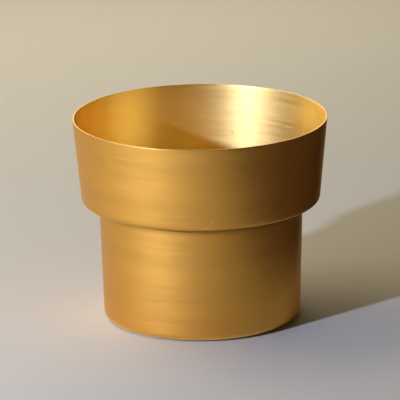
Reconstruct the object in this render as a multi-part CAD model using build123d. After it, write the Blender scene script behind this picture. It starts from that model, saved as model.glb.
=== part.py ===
from build123d import *

import os
from math import atan2, cos

# A two-tier brass cachepot: a wide flared ring of spun sheet stands on a narrower drawn
# cup, and the two are soldered together at the neck.
# Lengths are in millimetres. The Z axis is the pot's own axis, and zero is the surface
# that the pot stands on.

# Sheet brass and the whole pot
sheet = 1.2
brass_height = 150.0
edge_rounding = 0.35

# Lower tier: a cup that narrows a little from its mouth to its base
mouth_diameter = 150.0
cup_narrowing = 2.3
base_bend = 3.2

# Upper tier: it stands out from the neck by the ledge, and its wall leans out to the rim
ledge_height = 87.6
ledge_width = 12.65
wall_lean = 5.85
shoulder_bend = 2.2
collar_depth = 9.0

# Solder joint inside the neck
solder_gap = 0.15
seam_width = 1.0
seam_drop = 1.6

# Rubber pads under the floor, set in from the cup's edge
pad_count = 4
pad_diameter = 14.0
pad_thickness = 1.0
pad_edge_rounding = 0.3
pad_inset = 9.0

full_turn = 360.0

# Heights above the surface that the pot stands on
floor_underside = pad_thickness
floor_top = floor_underside + sheet
ledge_underside = floor_underside + ledge_height
ledge_top = ledge_underside + sheet
rim_top = floor_underside + brass_height
collar_end = ledge_underside - collar_depth

# Outer radii at the corners, and the leaning walls' sheet measured level
mouth_radius = mouth_diameter / 2
base_radius = mouth_radius - cup_narrowing
shoulder_radius = mouth_radius + ledge_width
rim_radius = shoulder_radius + wall_lean
upper_wall_height = rim_top - ledge_underside
upper_sheet = sheet / cos(atan2(wall_lean, upper_wall_height))
lower_sheet = sheet / cos(atan2(cup_narrowing, ledge_height))


def upper_outside(height):
    """Radius of the upper wall's outer face, which runs straight from shoulder to rim."""
    return shoulder_radius + wall_lean * (height - ledge_underside) / upper_wall_height


def upper_inside(height):
    return upper_outside(height) - upper_sheet


def lower_outside(height):
    """Radius of the lower wall's outer face, which runs straight from floor to mouth."""
    return base_radius + cup_narrowing * (height - floor_underside) / ledge_height


def lower_inside(height):
    return lower_outside(height) - lower_sheet


def collar_outside(height):
    """The collar follows the cup's inner face, a solder gap away from it."""
    return lower_inside(height) - solder_gap


def collar_inside(height):
    return collar_outside(height) - lower_sheet


def turned(section):
    """Turn half a section about the pot's axis.

    The section is a list of corners, each a radius, a height and the rounding of that
    corner, where zero leaves it sharp.
    """
    corners = [Vector(radius, 0, height) for radius, height, _ in section]
    face = make_face(Polyline(*corners, close=True))
    for corner, (_, _, rounding) in zip(corners, section):
        if rounding > 0:
            nearest = face.vertices().sort_by_distance(corner)[0]
            face = fillet(nearest, rounding)
    return revolve(face, axis=Axis.Z)


def make_upper_tier():
    """Flared wall, bend, flat ledge and a short collar turned down inside the neck."""
    section = [
        (upper_outside(rim_top), rim_top, edge_rounding),
        (upper_outside(ledge_underside), ledge_underside, shoulder_bend + sheet),
        (collar_outside(ledge_underside), ledge_underside, 0),
        (collar_outside(collar_end), collar_end, 0),
        (collar_inside(collar_end), collar_end, edge_rounding),
        (collar_inside(ledge_top), ledge_top, sheet),
        (upper_inside(ledge_top), ledge_top, shoulder_bend),
        (upper_inside(rim_top), rim_top, edge_rounding),
    ]
    return turned(section)


def make_lower_tier():
    """Drawn cup: its cut mouth butts against the underside of the ledge."""
    section = [
        (lower_outside(ledge_underside), ledge_underside, 0),
        (lower_outside(floor_underside), floor_underside, base_bend + sheet),
        (0, floor_underside, 0),
        (0, floor_top, 0),
        (lower_inside(floor_top), floor_top, base_bend),
        (lower_inside(ledge_underside), ledge_underside, 0),
    ]
    return turned(section)


def make_solder_seam():
    """Ring of solder in the corner between the collar's cut end and the cup's wall."""
    seam_end = collar_end - seam_drop
    section = [
        (collar_outside(collar_end), collar_end, 0),
        (collar_outside(seam_end), seam_end, 0),
        (collar_outside(collar_end) - seam_width, collar_end, 0),
    ]
    return turned(section)


def make_foot_pads():
    """Round pads, evenly spaced, each glued flat to the underside of the floor."""
    circle_radius = base_radius - pad_inset - pad_diameter / 2
    pad = Cylinder(pad_diameter / 2, pad_thickness, align=(Align.CENTER, Align.CENTER, Align.MIN))
    pad = fillet(pad.edges().group_by(Axis.Z)[0], pad_edge_rounding)
    first_place = Pos(circle_radius, 0, 0)
    return [
        Rot(0, 0, full_turn * (number + 0.5) / pad_count) * first_place * pad
        for number in range(pad_count)
    ]


os.makedirs("parts", exist_ok=True)
export_step(make_upper_tier(), "parts/upper_tier.step")
export_step(make_lower_tier(), "parts/lower_tier.step")
export_step(make_solder_seam(), "parts/solder_seam.step")
for number, pad in enumerate(make_foot_pads(), start=1):
    export_step(pad, f"parts/foot_pad_{number}.step")
print("pot is", rim_top, "mm high with its pads, and", 2 * rim_radius, "mm across its rim")
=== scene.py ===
# %% [markdown]
# A stepped brass cachepot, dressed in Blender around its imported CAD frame.
# The pot is two shells of sheet brass. A wide ring, spun on a lathe and leaning outwards, stands on a
# narrower drawn cup, and a ring of solder inside the neck joins them. It stands on small rubber pads.
# Everything about it is round, so its shapes are sections turned about one axis, and most of its
# character is in the finish: fine brushing that runs round the pot and draws every light out into an
# soft upright streak.

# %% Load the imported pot
import math

import bpy
import numpy as np
from mathutils import Matrix, Vector


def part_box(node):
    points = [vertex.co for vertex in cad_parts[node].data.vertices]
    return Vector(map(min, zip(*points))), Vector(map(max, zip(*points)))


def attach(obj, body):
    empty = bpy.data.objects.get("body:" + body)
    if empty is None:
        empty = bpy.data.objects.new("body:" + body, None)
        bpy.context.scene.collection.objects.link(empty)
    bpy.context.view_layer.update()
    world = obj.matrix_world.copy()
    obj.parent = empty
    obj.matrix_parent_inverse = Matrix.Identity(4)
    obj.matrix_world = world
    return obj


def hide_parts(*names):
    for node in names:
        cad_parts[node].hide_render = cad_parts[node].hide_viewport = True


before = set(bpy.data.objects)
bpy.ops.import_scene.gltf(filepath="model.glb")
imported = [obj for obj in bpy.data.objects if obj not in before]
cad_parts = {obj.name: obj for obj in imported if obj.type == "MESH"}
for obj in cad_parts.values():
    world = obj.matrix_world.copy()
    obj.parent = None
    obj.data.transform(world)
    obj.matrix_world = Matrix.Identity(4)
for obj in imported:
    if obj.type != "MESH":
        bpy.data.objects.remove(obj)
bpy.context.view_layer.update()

for node in sorted(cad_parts):
    low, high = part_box(node)
    print(f"{node}: {[round(1000 * side, 2) for side in high - low]} mm, from z {1000 * low.z:.2f} mm")

# %% [markdown]
# The frame gives the heights and most of the radii, so they are read from it, not typed again. Only
# the sizes that no box can show are named here: the sheet's thickness, the radii at the ledge and the
# floor, the roundings that the tools leave, the gap that the solder fills, and how far below the ledge
# the painted shade reaches.

# %% Sizes of the pot, in metres
upper_low, upper_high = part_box("upper_tier")
lower_low, lower_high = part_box("lower_tier")
seam_low, seam_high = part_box("solder_seam")

rim_top = upper_high.z
rim_radius = (upper_high.x - upper_low.x) / 2
ledge_underside = lower_high.z
mouth_radius = (lower_high.x - lower_low.x) / 2
collar_end = upper_low.z
floor_underside = lower_low.z

sheet = 0.0012
shoulder_radius = 0.08765
base_radius = 0.0727
shoulder_bend = 0.0022
base_bend = 0.0032
painted_shade_reach = 0.0077
edge_rounding = 0.00035
solder_gap = 0.00015

ledge_top = ledge_underside + sheet
floor_top = floor_underside + sheet
print(f"rim {2000 * rim_radius:.1f} mm across, {1000 * rim_top:.1f} mm above the table")

# %% [markdown]
# Both walls run straight, so a wall's radius at any height is a mix of its radii at the two ends. The
# sheet leans with its wall, so it measures a little more level than it does square to its face.


# %% Radii of the two walls
def upper_outside(height):
    """Straight from the shoulder, at the ledge's underside, out to the rim."""
    rise = (height - ledge_underside) / (rim_top - ledge_underside)
    return shoulder_radius + (rim_radius - shoulder_radius) * rise


def lower_outside(height):
    """Straight from the base, at the floor's underside, out to the mouth."""
    rise = (height - floor_underside) / (ledge_underside - floor_underside)
    return base_radius + (mouth_radius - base_radius) * rise


def level_thickness(run, rise):
    """Thickness of a leaning sheet measured level: the sheet over the cosine of its lean."""
    return sheet * math.hypot(run, rise) / rise


upper_sheet = level_thickness(rim_radius - shoulder_radius, rim_top - ledge_underside)
lower_sheet = level_thickness(mouth_radius - base_radius, ledge_underside - floor_underside)
print(f"sheet measured level: {1000 * upper_sheet:.4f} mm above, {1000 * lower_sheet:.4f} mm below")

# %% [markdown]
# A section of the pot is a line of corners joined by straight runs, with an arc in most corners. Sheet
# metal never folds to a sharp edge, and it is these small arcs that catch the light, so each has its
# points close together, while a straight wall has one every few millimetres. The arc is found by
# turning one radius into the other, which needs no case for left or right bends.


# %% Rounded sections
wall_step = 0.0025
bend_points = 9


def bend(corner, before, after, rounding, count):
    """Points of the arc that rounds a corner and touches both straight runs.

    Its centre lies on the corner's bisector, at the rounding divided by the sine of half the corner's
    angle. The points turn from the first radius to the last: each is a mix of the two radii, weighted
    by the sines of the angles still to go and already gone, over the sine of the whole turn.
    """
    to_before = (before - corner) / np.linalg.norm(before - corner)
    to_after = (after - corner) / np.linalg.norm(after - corner)
    half = np.arccos(np.clip(to_before @ to_after, -1, 1)) / 2
    bisector = (to_before + to_after) / np.linalg.norm(to_before + to_after)
    centre = corner + bisector * rounding / np.sin(half)
    first = corner + to_before * rounding / np.tan(half) - centre
    last = corner + to_after * rounding / np.tan(half) - centre
    turn = np.pi - 2 * half
    share = np.linspace(0, 1, count)[:, None]
    return centre + (np.sin((1 - share) * turn) * first + np.sin(share * turn) * last) / np.sin(turn)


def section_line(corners, closed, longest_step=wall_step, arc_points=bend_points):
    """Points of a section from its corners, each a radius, a height and a rounding.

    Returns the points, and for each of them a 1 where it lies on a rounded cut edge, or else a 0.
    """
    places = np.array([corner[:2] for corner in corners])
    arcs, on_edge = [], []
    for number, (_, _, rounding) in enumerate(corners):
        here = places[number]
        if rounding > 0:
            after = places[(number + 1) % len(places)]
            arc = bend(here, places[number - 1], after, rounding, arc_points)
        else:
            arc = here[None]
        arcs.append(arc)
        on_edge.append(np.full(len(arc), float(0 < rounding <= edge_rounding)))
    points, edges = [], []
    for number, arc in enumerate(arcs):
        points.append(arc)
        edges.append(on_edge[number])
        following = arcs[(number + 1) % len(arcs)]
        if number + 1 < len(arcs) or closed:
            run = following[0] - arc[-1]
            count = max(int(np.linalg.norm(run) / longest_step), 1)
            share = np.arange(1, count)[:, None] / count
            points.append(arc[-1] + share * run)
            edges.append(np.zeros(count - 1))
    return np.concatenate(points), np.concatenate(edges)


# %% [markdown]
# The finish has to know where on the section it is, so each section point gets a few facts: whether it
# is inside the pot, whether it is just under the ledge, where shade is painted into the brass, and
# whether it is on the bottom bend, which rubs on the table and where a highlight is painted in. Each
# is a number from 0 to 1 worked out from the point's radius and height. How far the foot's mark goes
# under the floor, and how far up the wall, is counted in radii of that bend.


# %% Facts about a section point
foot_mark_inwards = 2
foot_mark_upwards = 1.4


def smooth(value):
    """A value clipped to 0 and 1, with an ease in and an ease out between them."""
    share = np.clip(value, 0, 1)
    return share * share * (3 - 2 * share)


def inner_face(line):
    """1 where a section point is on the pot's inner face, nearer the axis than the middle of the sheet."""
    radius, height = line[:, 0], line[:, 1]
    outside = np.where(height > ledge_underside + sheet / 2, upper_outside(height), lower_outside(height))
    return ((radius < outside - sheet / 2) & (height > floor_underside + sheet / 2)).astype(float)


def ledge_painted_shade(line):
    """1 under the ledge, where shade is painted into the brass. It fades over the bend above and the wall
    below.
    """
    height = line[:, 1]
    over_bend = smooth(1 - (height - ledge_underside) / shoulder_bend)
    down_wall = smooth(1 - (ledge_underside - height) / painted_shade_reach)
    return (1 - inner_face(line)) * np.where(height > ledge_underside, over_bend, down_wall)


def foot_wear_and_painted_highlight(line):
    """1 on the outside of the bottom bend, which rubs on whatever the pot is stood on, and where a
    highlight is painted in.
    """
    radius, height = line[:, 0], line[:, 1]
    beyond_floor = smooth((radius - base_radius + foot_mark_inwards * base_bend) / base_bend)
    up_wall = smooth(foot_mark_upwards - (height - floor_underside) / base_bend)
    return beyond_floor * up_wall * (1 - inner_face(line))


# %% [markdown]
# Turning a section gives a grid: one direction runs round the pot, the other along the section. The
# grid is worked out in one go with arrays. Sheet that is spun or drawn never comes out perfectly
# round, so the radius loses a few hundredths of a millimetre in slow waves, which shows only as a
# slight unevenness in the highlights.


# %% Rings and the faces between them
slow_waves = ((2, 9, 0.0, 1.0), (3, -40, 1.3, 0.6), (5, 75, 0.4, 0.4), (9, -130, 0.0, 0.25))


def share_lost(angle, height):
    """A number from 0 to 1 that wanders slowly round the pot and up it.

    It is a sum of sine waves. Each has a count round the pot, a slant in radians per metre of height,
    a start and a strength.
    """
    total = sum(strength * np.sin(count * angle + slant * height + start)
                for count, slant, start, strength in slow_waves)
    return 0.5 + 0.5 * total / sum(strength for _, _, _, strength in slow_waves)


def ring_places(ringed, angle, out_of_round):
    """Points of all the rings, one ring for each section point.

    At angle t, a section point of radius r and height z comes to (r cos t, r sin t, z). With out of
    round above zero, one length for the section or one for each of its points, r first shrinks by a
    share of it that wanders with t and z, and by less near the axis.
    """
    radius, height = ringed[:, :1], ringed[:, 1:]
    loss = np.broadcast_to(out_of_round, len(ringed))[:, None] * share_lost(angle, height)
    radius = radius - loss * np.minimum(radius / mouth_radius, 1)
    grid = np.stack([radius * np.cos(angle), radius * np.sin(angle), height + 0 * angle], axis=-1)
    return grid.reshape(-1, 3)


def ring_faces(index, closed):
    """Four-sided faces from each ring to the next, and from the last to the first if closed."""
    near = index if closed else index[:-1]
    far = np.roll(index, -1, axis=0) if closed else index[1:]
    return np.stack([near, np.roll(near, -1, 1), np.roll(far, -1, 1), far], axis=-1).reshape(-1, 4)


def fan_faces(index, pole):
    """Triangles from the point numbered pole to the first ring, and from the next one to the last."""
    first = np.full(index.shape[1], pole)
    first_fan = np.stack([first, np.roll(index[0], -1), index[0]], axis=-1)
    last_fan = np.stack([first + 1, index[-1], np.roll(index[-1], -1)], axis=-1)
    return np.concatenate([first_fan, last_fan])


# %% [markdown]
# The brushing follows the section over walls, bends and floor alike, so beside the other facts each
# point remembers how far along the section it lies. A closed section makes a ring of sheet, as the
# upper tier is, and one that starts and ends on the axis makes a cup or a disc.


# %% Turning a section into a shell
points_round_pot = 448


def write_facts(mesh, line, edges, closed, around):
    """The facts of each section point, repeated round its ring. Points on the axis come last."""
    along = np.concatenate([[0], np.cumsum(np.linalg.norm(np.diff(line, axis=0), axis=1))])
    facts = {"along_section": along, "cut_edge": edges, "inner_face": inner_face(line),
             "ledge_painted_shade": ledge_painted_shade(line), "foot_wear_and_painted_highlight": foot_wear_and_painted_highlight(line)}
    for label, values in facts.items():
        spread = np.repeat(values if closed else values[1:-1], around)
        spread = spread if closed else np.concatenate([spread, values[[0, -1]]])
        mesh.attributes.new(label, "FLOAT", "POINT").data.foreach_set("value", spread.astype(np.float32))


def turned(name, line, edges, closed, around=points_round_pot, out_of_round=0.0):
    """A surface of revolution about Z, as a piece of the pot.

    A section that isn't closed starts and ends on the axis, and gets a fan of triangles round each of
    those two points. Faces look outwards where the section runs counter-clockwise, with radius to the
    right and height upwards, and are flipped where it doesn't.
    """
    angle = np.arange(around) * (2 * np.pi / around)
    ringed = line if closed else line[1:-1]
    places = ring_places(ringed, angle, out_of_round)
    index = np.arange(len(places)).reshape(len(ringed), around)
    faces = ring_faces(index, closed).tolist()
    if not closed:
        faces += fan_faces(index, len(places)).tolist()
        poles = np.stack([np.zeros(2), np.zeros(2), line[[0, -1], 1]], axis=-1)
        places = np.concatenate([places, poles])
    mesh = bpy.data.meshes.new(name)
    mesh.from_pydata(places.tolist(), [], faces)
    write_facts(mesh, line, edges, closed, around)
    following = np.roll(line, -1, axis=0)
    runs_clockwise = np.sum(line[:, 0] * following[:, 1] - following[:, 0] * line[:, 1]) < 0
    if runs_clockwise:
        mesh.flip_normals()
    mesh.shade_smooth()
    piece = bpy.data.objects.new(name, mesh)
    bpy.context.scene.collection.objects.link(piece)
    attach(piece, "root")
    print(f"{name}: {len(mesh.vertices)} points, {len(mesh.polygons)} faces")
    return piece


# %% [markdown]
# The upper tier is one piece of sheet: a wall that leans out, a bend, a level ledge, and a short
# collar turned down inside the cup's mouth. Both faces of the sheet are modelled, so its section is a
# closed loop, and the lip shows its real thickness.


# %% Upper tier
out_of_true = 0.00006
collar_radius = lower_outside(ledge_underside) - lower_sheet - solder_gap
collar_foot = lower_outside(collar_end) - lower_sheet - solder_gap
upper_line, upper_edges = section_line([
    (collar_foot, collar_end, 0),
    (collar_foot - lower_sheet, collar_end, edge_rounding),
    (collar_radius - lower_sheet, ledge_top, sheet),
    (upper_outside(ledge_top) - upper_sheet, ledge_top, shoulder_bend),
    (upper_outside(rim_top) - upper_sheet, rim_top, edge_rounding),
    (upper_outside(rim_top), rim_top, edge_rounding),
    (upper_outside(ledge_underside), ledge_underside, shoulder_bend + sheet),
    (collar_radius, ledge_underside, 0),
], closed=True)
upper_tier = turned("upper_tier_spun", upper_line, upper_edges, closed=True, out_of_round=out_of_true)
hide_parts("upper_tier")

# %% [markdown]
# The lower tier is a drawn cup. Its section starts on the axis under the floor, goes out and up the
# wall, over the cut mouth that butts against the ledge, and back down the inside to the axis again.

# %% Lower tier
lower_line, lower_edges = section_line([
    (0, floor_underside, 0),
    (lower_outside(floor_underside), floor_underside, base_bend + sheet),
    (lower_outside(ledge_underside), ledge_underside, 0),
    (lower_outside(ledge_underside) - lower_sheet, ledge_underside, 0),
    (lower_outside(floor_top) - lower_sheet, floor_top, base_bend),
    (0, floor_top, 0),
], closed=False)
lower_tier = turned("lower_tier_drawn", lower_line, lower_edges, closed=False, out_of_round=out_of_true)
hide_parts("lower_tier")

# %% [markdown]
# Solder runs into the corner between the collar's cut end and the cup's wall and sets there with a
# hollow face. It never lies quite even, so the bead swells and shrinks a little on its way round.

# %% Solder bead
seam_outer = (seam_high.x - seam_low.x) / 2
seam_width = 0.001
hollow = 0.35
swell = 0.00025
face_points = 9


def bead_section():
    """Points down the hollow face, from the collar's end to the cup's wall, then the corner behind it.

    Going down the face, the share of the way out to the wall runs evenly, and the share of the way
    down is a power of it above one, which hollows the face.
    """
    out = np.linspace(0, 1, face_points)
    radius = seam_outer - seam_width * (1 - out)
    height = seam_high.z - (seam_high.z - seam_low.z) * out ** (1 / (1 - hollow))
    corner = np.array([[seam_outer, seam_high.z]])
    return np.concatenate([np.stack([radius, height], axis=1), corner]), np.append(out, 0)


seam_line, out = bead_section()
# 1 halfway down the face, and 0 at both its ends, where the solder holds on to the brass
free_of_brass = 4 * out * (1 - out)
solder_bead = turned("solder_bead", seam_line, np.zeros(len(seam_line)), closed=True,
                     out_of_round=swell * free_of_brass)
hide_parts("solder_seam")


# %% [markdown]
# Each pad is a disc of black rubber, punched from sheet and glued to the underside of the floor, with
# a rounded foot. One function makes them all from the boxes of their CAD nodes.


# %% Rubber pads
rounded_foot = 0.0003
pad_step = 0.0007
pad_bend_points = 6
points_round_pad = 96


def rubber_pad(node):
    """A disc turned about its own middle: flat top, straight side, rounded foot."""
    low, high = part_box(node)
    radius = (high.x - low.x) / 2
    line, edges = section_line([
        (0, low.z, 0),
        (radius, low.z, rounded_foot),
        (radius, high.z, 0),
        (0, high.z, 0),
    ], closed=False, longest_step=pad_step, arc_points=pad_bend_points)
    pad = turned(f"{node}_rubber", line, edges, closed=False, around=points_round_pad)
    middle = (low + high) / 2
    pad.data.transform(Matrix.Translation((middle.x, middle.y, 0)))
    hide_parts(node)
    return pad


pad_nodes = sorted(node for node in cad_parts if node.startswith("foot_pad"))
pads = [rubber_pad(node) for node in pad_nodes]

# %% [markdown]
# The finish. A belt of fine abrasive held against the turning pot leaves thousands of hair-thin lines
# that all run round it, so light scatters further up and down the pot than round it, and every lamp
# shows as a soft upright streak. The shader has anisotropy for this. It stretches highlights along a
# tangent, here the circle round Z, and a quarter turn of it stands them upright. The lines are noise,
# stretched round the pot and tight along its section: broad bands where the belt was moved along,
# coarse lines, and fine lines that only the bump shows.

# %% The brass in numbers
outer_brass = (0.88, 0.46, 0.082)
# Painted light: the inside is a brighter, yellower copy of the same brass
inner_brass_painted_light = (0.97, 0.70, 0.225)
plain_roughness = 0.45
anisotropy = 0.15
quarter_turn = 0.25

brush_layers = {
    "bands": {"lines_per_metre": 130, "streaks_per_metre": 5, "detail": 1},
    "coarse": {"lines_per_metre": 640, "streaks_per_metre": 22, "detail": 3},
    "fine": {"lines_per_metre": 1700, "streaks_per_metre": 40, "detail": 2},
}
brush_noise_roughness = 0.6
clouds_per_metre = 16
cloud_detail = 2
line_depth = 0.00002
line_strength = 0.4

# How far each noise swings the brass's shade and its roughness, up and down
swings = {
    "bands": (0.035, 0.03),
    "coarse": (0.05, 0.055),
    "clouds": (0.04, 0.02),
}

# What each fact and each mark adds to the shade and to the roughness at its full strength. Under the ledge
# the shade is painted shade, and on the foot a painted highlight.
wear_and_painted_light = {
    "inner_face": (0.0, -0.02),
    "cut_edge": (0.0, -0.05),
    # Painted shade under the ledge, darker where the ledge's shadow falls, with a little more roughness
    "ledge_painted_shade": (-0.75, 0.1),
    # Painted highlight on the bottom bend, lighter in colour, and smoother from rubbing
    "foot_wear_and_painted_highlight": (0.25, -0.2),
    "scuff": (0.5, 0.1),
    "lip_nick": (0.6, 0.0),
    "thumb_mark": (-0.07, 0.0),
    "dark_spot": (-0.25, 0.0),
    "rubbed_patch": (0.0, 0.09),
}
print(f"{len(brush_layers)} layers of brushing, {len(wear_and_painted_light)} kinds of wear")

# %% [markdown]
# Every finish is put together from the same few parts: a node with its settings, a value taken from
# one span to another, a sum of values, and two kinds of noise. A small function for each keeps the
# finishes short. A noise seldom leaves the span from 0.2 to 0.8, so that span is the one to spread
# over a swing.


# %% Building blocks for the finishes
usual_noise = (0.2, 0.8)


def new_finish(name):
    """An empty material: itself, its node tree and its shader."""
    material = bpy.data.materials.new(name)
    material.use_nodes = True
    return material, material.node_tree, material.node_tree.nodes["Principled BSDF"]


def add(tree, kind, **settings):
    """A node of that kind, with named settings and, under inputs, values for its sockets."""
    node = tree.nodes.new(kind)
    for socket, value in settings.pop("inputs", {}).items():
        node.inputs[socket].default_value = value
    for setting, value in settings.items():
        setattr(node, setting, value)
    return node


def scaled(tree, value, low, high, at_low=0.0, at_high=1.0):
    """A value whose span from at_low to at_high is taken to the span from low to high, and clipped."""
    node = add(tree, "ShaderNodeMapRange", inputs={1: at_low, 2: at_high, 3: low, 4: high})
    tree.links.new(value, node.inputs["Value"])
    return node.outputs["Result"]


def summed(tree, start, values):
    """A number, the start, plus all the values."""
    constant = add(tree, "ShaderNodeValue")
    constant.outputs[0].default_value = start
    total = constant.outputs[0]
    for value in values:
        node = add(tree, "ShaderNodeMath", operation="ADD")
        tree.links.new(total, node.inputs[0])
        tree.links.new(value, node.inputs[1])
        total = node.outputs[0]
    return total


def noise_in_place(tree, per_metre, detail):
    """Plain noise, fixed to the object."""
    place = add(tree, "ShaderNodeTexCoord")
    noise = add(tree, "ShaderNodeTexNoise", inputs={"Scale": per_metre, "Detail": detail})
    tree.links.new(place.outputs["Object"], noise.inputs["Vector"])
    return noise.outputs["Fac"]


def brush_lines(tree, lines_per_metre, streaks_per_metre, detail):
    """Noise that changes slowly round the pot and quickly along its section.

    It is looked up at (streaks x, streaks y, lines s), where s is the length along the section.
    """
    link = tree.links.new
    place = add(tree, "ShaderNodeTexCoord")
    split = add(tree, "ShaderNodeSeparateXYZ")
    along = add(tree, "ShaderNodeAttribute", attribute_name="along_section")
    join = add(tree, "ShaderNodeCombineXYZ")
    stretch = add(tree, "ShaderNodeVectorMath", operation="MULTIPLY",
                  inputs={1: (streaks_per_metre, streaks_per_metre, lines_per_metre)})
    noise = add(tree, "ShaderNodeTexNoise", inputs={"Scale": 1, "Detail": detail,
                                                   "Roughness": brush_noise_roughness})
    link(place.outputs["Object"], split.inputs[0])
    link(split.outputs["X"], join.inputs["X"])
    link(split.outputs["Y"], join.inputs["Y"])
    link(along.outputs["Fac"], join.inputs["Z"])
    link(join.outputs[0], stretch.inputs[0])
    link(stretch.outputs[0], noise.inputs["Vector"])
    return noise.outputs["Fac"]


# %% [markdown]
# A pot that has been about for a while isn't spotless. These marks are the ones that the photograph
# shows: a bright scuff on the ledge's edge, a nick on the lip, a faint thumb mark on the left wall, a
# dark spot inside and a rubbed patch on the front. Each fades out in a grainy edge, as scratches do.

# %% Marks
# Each mark is one or more spots: the middle on the pot, and the reach along X, Y and Z, in metres
marks = {
    "scuff": [((0.0030, -0.0878, 0.0913), (0.0032, 0.0040, 0.0007)),
              ((0.0080, -0.0879, 0.0957), (0.0009, 0.0040, 0.0012))],
    "lip_nick": [((-0.0775, 0.0499, 0.1505), (0.0010, 0.0010, 0.0010))],
    "thumb_mark": [((-0.0718, -0.0574, 0.1344), (0.0080, 0.0080, 0.0070))],
    "dark_spot": [((0.0246, 0.0854, 0.1147), (0.0013, 0.0040, 0.0016))],
    "rubbed_patch": [((0.0, -0.0915, 0.1320), (0.0035, 0.0060, 0.0110))],
}
mark_grain_per_metre, mark_grain_detail = 900, 2
mark_fades_from, mark_fades_to = 0.7, 1.5
print(f"{len(marks)} marks, made of {sum(len(spots) for spots in marks.values())} spots")


def spot(tree, middle, reach):
    """1 in the middle of a spot and 0 beyond its reach, with a grainy edge.

    The distance from the middle is measured in reaches, and a noise from 0 to 1 is added to it.
    """
    link = tree.links.new
    place = add(tree, "ShaderNodeTexCoord")
    offset = add(tree, "ShaderNodeVectorMath", operation="SUBTRACT", inputs={1: middle})
    shrunk = add(tree, "ShaderNodeVectorMath", operation="DIVIDE", inputs={1: reach})
    length = add(tree, "ShaderNodeVectorMath", operation="LENGTH")
    link(place.outputs["Object"], offset.inputs[0])
    link(offset.outputs[0], shrunk.inputs[0])
    link(shrunk.outputs[0], length.inputs[0])
    grain = noise_in_place(tree, mark_grain_per_metre, mark_grain_detail)
    ragged = summed(tree, 0, [length.outputs["Value"], grain])
    return scaled(tree, ragged, 1, 0, mark_fades_from, mark_fades_to)


# %% [markdown]
# In the shader a metal's base colour is the colour of what it mirrors. The inside gets a yellower,
# brighter copy of the brass, which is painted light: it stands in for how the light falls inside the
# pot. Its shade is a factor on that colour: it starts at 1, and every noise, every kind of wear and
# the painted shade and highlight add their share. The roughness is summed in the same way. The coarse
# and fine lines also go into a bump, which frays the edge of each highlight.


# %% Brushed brass
shade_column, roughness_column = 0, 1


def wear_and_light_places(tree):
    """How strong each kind of wear and of painted light is, from 0 to 1: a fact of the mesh, or a mark's
    spots.
    """
    strengths = {}
    for kind in wear_and_painted_light:
        if kind in marks:
            strengths[kind] = summed(tree, 0, [spot(tree, *place) for place in marks[kind]])
        else:
            strengths[kind] = add(tree, "ShaderNodeAttribute", attribute_name=kind).outputs["Fac"]
    return strengths


def with_changes(tree, plain, column, noises, wear_and_light):
    """The plain value, plus what one column of the swings and of the wear and painted light adds to it."""
    changes = []
    for layer, amounts in swings.items():
        changes.append(scaled(tree, noises[layer], -amounts[column], amounts[column], *usual_noise))
    for kind, amounts in wear_and_painted_light.items():
        if amounts[column]:
            changes.append(scaled(tree, wear_and_light[kind], 0, amounts[column]))
    return summed(tree, plain, changes)


def brushed_brass(name):
    """Brass brushed round the pot's axis, with its wear, painted shade under the ledge, a painted
    highlight on the foot and a painted brighter inside.
    """
    material, tree, shader = new_finish(name)
    link = tree.links.new
    shader.inputs["Metallic"].default_value = 1
    shader.inputs["Anisotropic"].default_value = anisotropy
    shader.inputs["Anisotropic Rotation"].default_value = quarter_turn
    round_axis = add(tree, "ShaderNodeTangent", direction_type="RADIAL", axis="Z")
    link(round_axis.outputs[0], shader.inputs["Tangent"])

    noises = {layer: brush_lines(tree, **sizes) for layer, sizes in brush_layers.items()}
    noises["clouds"] = noise_in_place(tree, clouds_per_metre, cloud_detail)
    wear_and_light = wear_and_light_places(tree)

    brass = add(tree, "ShaderNodeMix", data_type="RGBA")
    brass.inputs["A"].default_value = (*outer_brass, 1)
    brass.inputs["B"].default_value = (*inner_brass_painted_light, 1)
    shaded = add(tree, "ShaderNodeVectorMath", operation="SCALE")
    link(wear_and_light["inner_face"], brass.inputs["Factor"])
    link(brass.outputs["Result"], shaded.inputs[0])
    link(with_changes(tree, 1, shade_column, noises, wear_and_light), shaded.inputs["Scale"])
    link(shaded.outputs[0], shader.inputs["Base Color"])
    roughness = with_changes(tree, plain_roughness, roughness_column, noises, wear_and_light)
    link(roughness, shader.inputs["Roughness"])

    bump = add(tree, "ShaderNodeBump", inputs={"Strength": line_strength, "Distance": line_depth})
    link(summed(tree, 0, [noises["coarse"], noises["fine"]]), bump.inputs["Height"])
    link(bump.outputs["Normal"], shader.inputs["Normal"])
    return material


brass_finish = brushed_brass("spun_brass")
for shell in (upper_tier, lower_tier):
    shell.data.materials.append(brass_finish)
print(f"brushed brass: {len(brass_finish.node_tree.nodes)} nodes, on {brass_finish.users} pieces")


# %% [markdown]
# Silver solder sets with a dull, slightly grained face, paler than the brass. The rubber is matt
# black with a finer grain. One function serves both, with a noise in the roughness and in the bump.


# %% Solder and rubber
solder_colour, solder_roughness = (0.62, 0.56, 0.40), 0.5
solder_grain_per_metre, solder_grain_depth = 900, 0.0001
rubber_colour, rubber_roughness = (0.02, 0.02, 0.02), 0.7
rubber_grain_per_metre, rubber_grain_depth = 2500, 0.00005
roughness_swing = 0.17
grain_strength = 0.6
grain_detail = 3


def grained(name, colour, metallic, roughness, per_metre, depth):
    """A plain finish with a fine grain in its roughness and bump."""
    material, tree, shader = new_finish(name)
    shader.inputs["Metallic"].default_value = metallic
    shader.inputs["Base Color"].default_value = (*colour, 1)
    grain = noise_in_place(tree, per_metre, grain_detail)
    swing = scaled(tree, grain, roughness - roughness_swing, roughness + roughness_swing, *usual_noise)
    bump = add(tree, "ShaderNodeBump", inputs={"Strength": grain_strength, "Distance": depth})
    tree.links.new(swing, shader.inputs["Roughness"])
    tree.links.new(grain, bump.inputs["Height"])
    tree.links.new(bump.outputs["Normal"], shader.inputs["Normal"])
    return material


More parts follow.
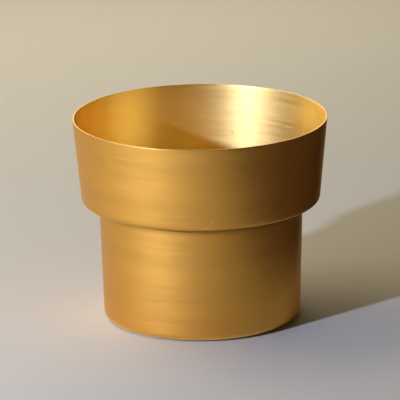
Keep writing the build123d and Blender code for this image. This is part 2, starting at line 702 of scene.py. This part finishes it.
solder_finish = grained("silver_solder", solder_colour, 1.0, solder_roughness,
                        solder_grain_per_metre, solder_grain_depth)
rubber_finish = grained("pad_rubber", rubber_colour, 0.0, rubber_roughness,
                        rubber_grain_per_metre, rubber_grain_depth)
solder_bead.data.materials.append(solder_finish)
for pad in pads:
    pad.data.materials.append(rubber_finish)
print(f"solder on {solder_finish.users} piece, rubber on {rubber_finish.users} pieces")

# %% [markdown]
# The camera looks slightly down with a long lens, as a product photographer's does, so the rim is a
# flat ellipse and the walls hardly converge. It is turned by less than a degree, as in the
# photograph, and aimed a little above the pot's middle.

# %% Camera
# The picture is measured in pixels, the film in millimetres, and all other lengths in metres
eye_elevation = math.radians(16.4)
eye_turn = math.radians(-0.77)
radii_away = 30
eye_distance = radii_away * rim_radius
picture_width = 400
pixels_per_rim_radius = 126.77
pixels_right_of_centre = 1.1
pixels_below_centre = 14.2
film_width = 36
farthest_seen = 50

pot_middle = Vector((0, 0, (floor_underside + rim_top) / 2))
towards_eye = Vector((0, -math.cos(eye_elevation), math.sin(eye_elevation)))
level_right = Vector((1, 0, 0))
level_up = towards_eye.cross(level_right)
eye_right = level_right * math.cos(eye_turn) + level_up * math.sin(eye_turn)
eye_up = level_up * math.cos(eye_turn) - level_right * math.sin(eye_turn)
metres_per_pixel = rim_radius / pixels_per_rim_radius
shift = eye_up * pixels_below_centre - eye_right * pixels_right_of_centre
aim = pot_middle + shift * metres_per_pixel

lens = bpy.data.cameras.new("camera")
camera = bpy.data.objects.new("camera", lens)
bpy.context.scene.collection.objects.link(camera)
lens.sensor_width = film_width
lens.lens = film_width * eye_distance / metres_per_pixel / picture_width
lens.clip_end = farthest_seen
turn = Matrix((eye_right, eye_up, towards_eye)).transposed()
camera.matrix_world = Matrix.Translation(aim + towards_eye * eye_distance) @ turn.to_4x4()
bpy.context.scene.camera = camera
print(f"camera {eye_distance:.2f} m away, {lens.lens:.0f} mm lens")


# %% [markdown]
# The studio is a plain pale floor and soft lights. Brass is a mirror, if a blurred one, so it shows
# where every light stands. A small lamp, low at the camera's left, draws the upright highlights, the
# slanting edge of the lip's shadow inside, and the glow at the left of the inside, which is its light
# thrown back by the right wall. A wide wing beside it softens the highlights. These two are cool, the
# small one most, which keeps the highlights pale. Three large warm softboxes, two from the left and
# one from behind, stand in for the room. The pot also mirrors the floor beside it, so a brown card at
# its right, which only reflections see, keeps that side dark.

# %% Lamps and card in numbers
clear_sky = (0.98, 1.15, 1.9)
daylight = (0.98, 1.04, 1.35)
warm_room = (1.05, 0.95, 0.78)
dim_room = (0.03, 0.022, 0.014)

# Azimuth and elevation in degrees, distance, width and height in metres, brightness, and tint
lamps = {
    "hard_key": (-46, 18.5, 1.6, 0.08, 0.05, 1300, clear_sky),
    "key_wing": (-66, 19.5, 1.6, 0.9, 0.3, 3.6, daylight),
    "top_left_box": (-110, 58, 1.2, 0.8, 0.6, 2.5, warm_room),
    "back_left_box": (-145, 30, 1.2, 0.7, 0.6, 1.4, warm_room),
    "back_box": (180, 22, 1.2, 0.9, 0.5, 1.9, warm_room),
}
half_floor = 6
floor_colour = (0.74, 0.695, 0.53)
card_colour = (0.06, 0.033, 0.012)
card_x, card_front, card_back, card_height = 0.150, -0.55, 0.14, 0.28
card_above_floor = 0.001
matt = 0.9

# %% [markdown]
# Each lamp is an area light, placed by its direction and distance from the pot's middle, and turned to
# face it. The floor and the card are flat faces, and no part of the pot.


# %% Floor and lights
def plain_sheet(name, corners, colour):
    """A flat four-sided sheet in one matt colour."""
    mesh = bpy.data.meshes.new(name)
    mesh.from_pydata(corners, [], [(0, 1, 2, 3)])
    sheet_object = bpy.data.objects.new(name, mesh)
    bpy.context.scene.collection.objects.link(sheet_object)
    material, _, shader = new_finish(name)
    shader.inputs["Base Color"].default_value = (*colour, 1)
    shader.inputs["Roughness"].default_value = matt
    mesh.materials.append(material)
    return sheet_object


def softbox(name, azimuth, elevation, distance, width, height, brightness, tint):
    """A rectangular light that faces the pot.

    Azimuth 0 is the camera's side, and positive is to its right. Its power is the brightness times
    its area times pi, so a box that is made larger looks just as bright in the brass.
    """
    light = bpy.data.lights.new(name, "AREA")
    light.shape = "RECTANGLE"
    light.size = width
    light.size_y = height
    light.energy = brightness * width * height * math.pi
    light.color = tint
    lamp = bpy.data.objects.new(name, light)
    bpy.context.scene.collection.objects.link(lamp)
    around, up = math.radians(azimuth), math.radians(elevation)
    direction = Vector((math.sin(around) * math.cos(up), -math.cos(around) * math.cos(up), math.sin(up)))
    lamp.location = pot_middle + direction * distance
    lamp.rotation_mode = "QUATERNION"
    lamp.rotation_quaternion = direction.to_track_quat("Z", "Y")
    lamp.visible_camera = False
    return lamp


plain_sheet("pale_floor", [
    (-half_floor, -half_floor, 0),
    (half_floor, -half_floor, 0),
    (half_floor, half_floor, 0),
    (-half_floor, half_floor, 0),
], floor_colour)
brown_card = plain_sheet("brown_card", [
    (card_x, card_front, card_above_floor),
    (card_x, card_back, card_above_floor),
    (card_x, card_back, card_height),
    (card_x, card_front, card_height),
], card_colour)
brown_card.visible_camera = False
brown_card.visible_shadow = False
brown_card.visible_diffuse = False
for lamp_name, settings in lamps.items():
    lamp = softbox(lamp_name, *settings)
    print(f"{lamp_name}: {lamp.data.energy:.2f} W, {1000 * lamp.location.z:.0f} mm up")

world = bpy.data.worlds.new("studio")
bpy.context.scene.world = world
world.use_nodes = True
world.node_tree.nodes["Background"].inputs["Color"].default_value = (*dim_room, 1)

bpy.context.scene.view_settings.view_transform = "Standard"
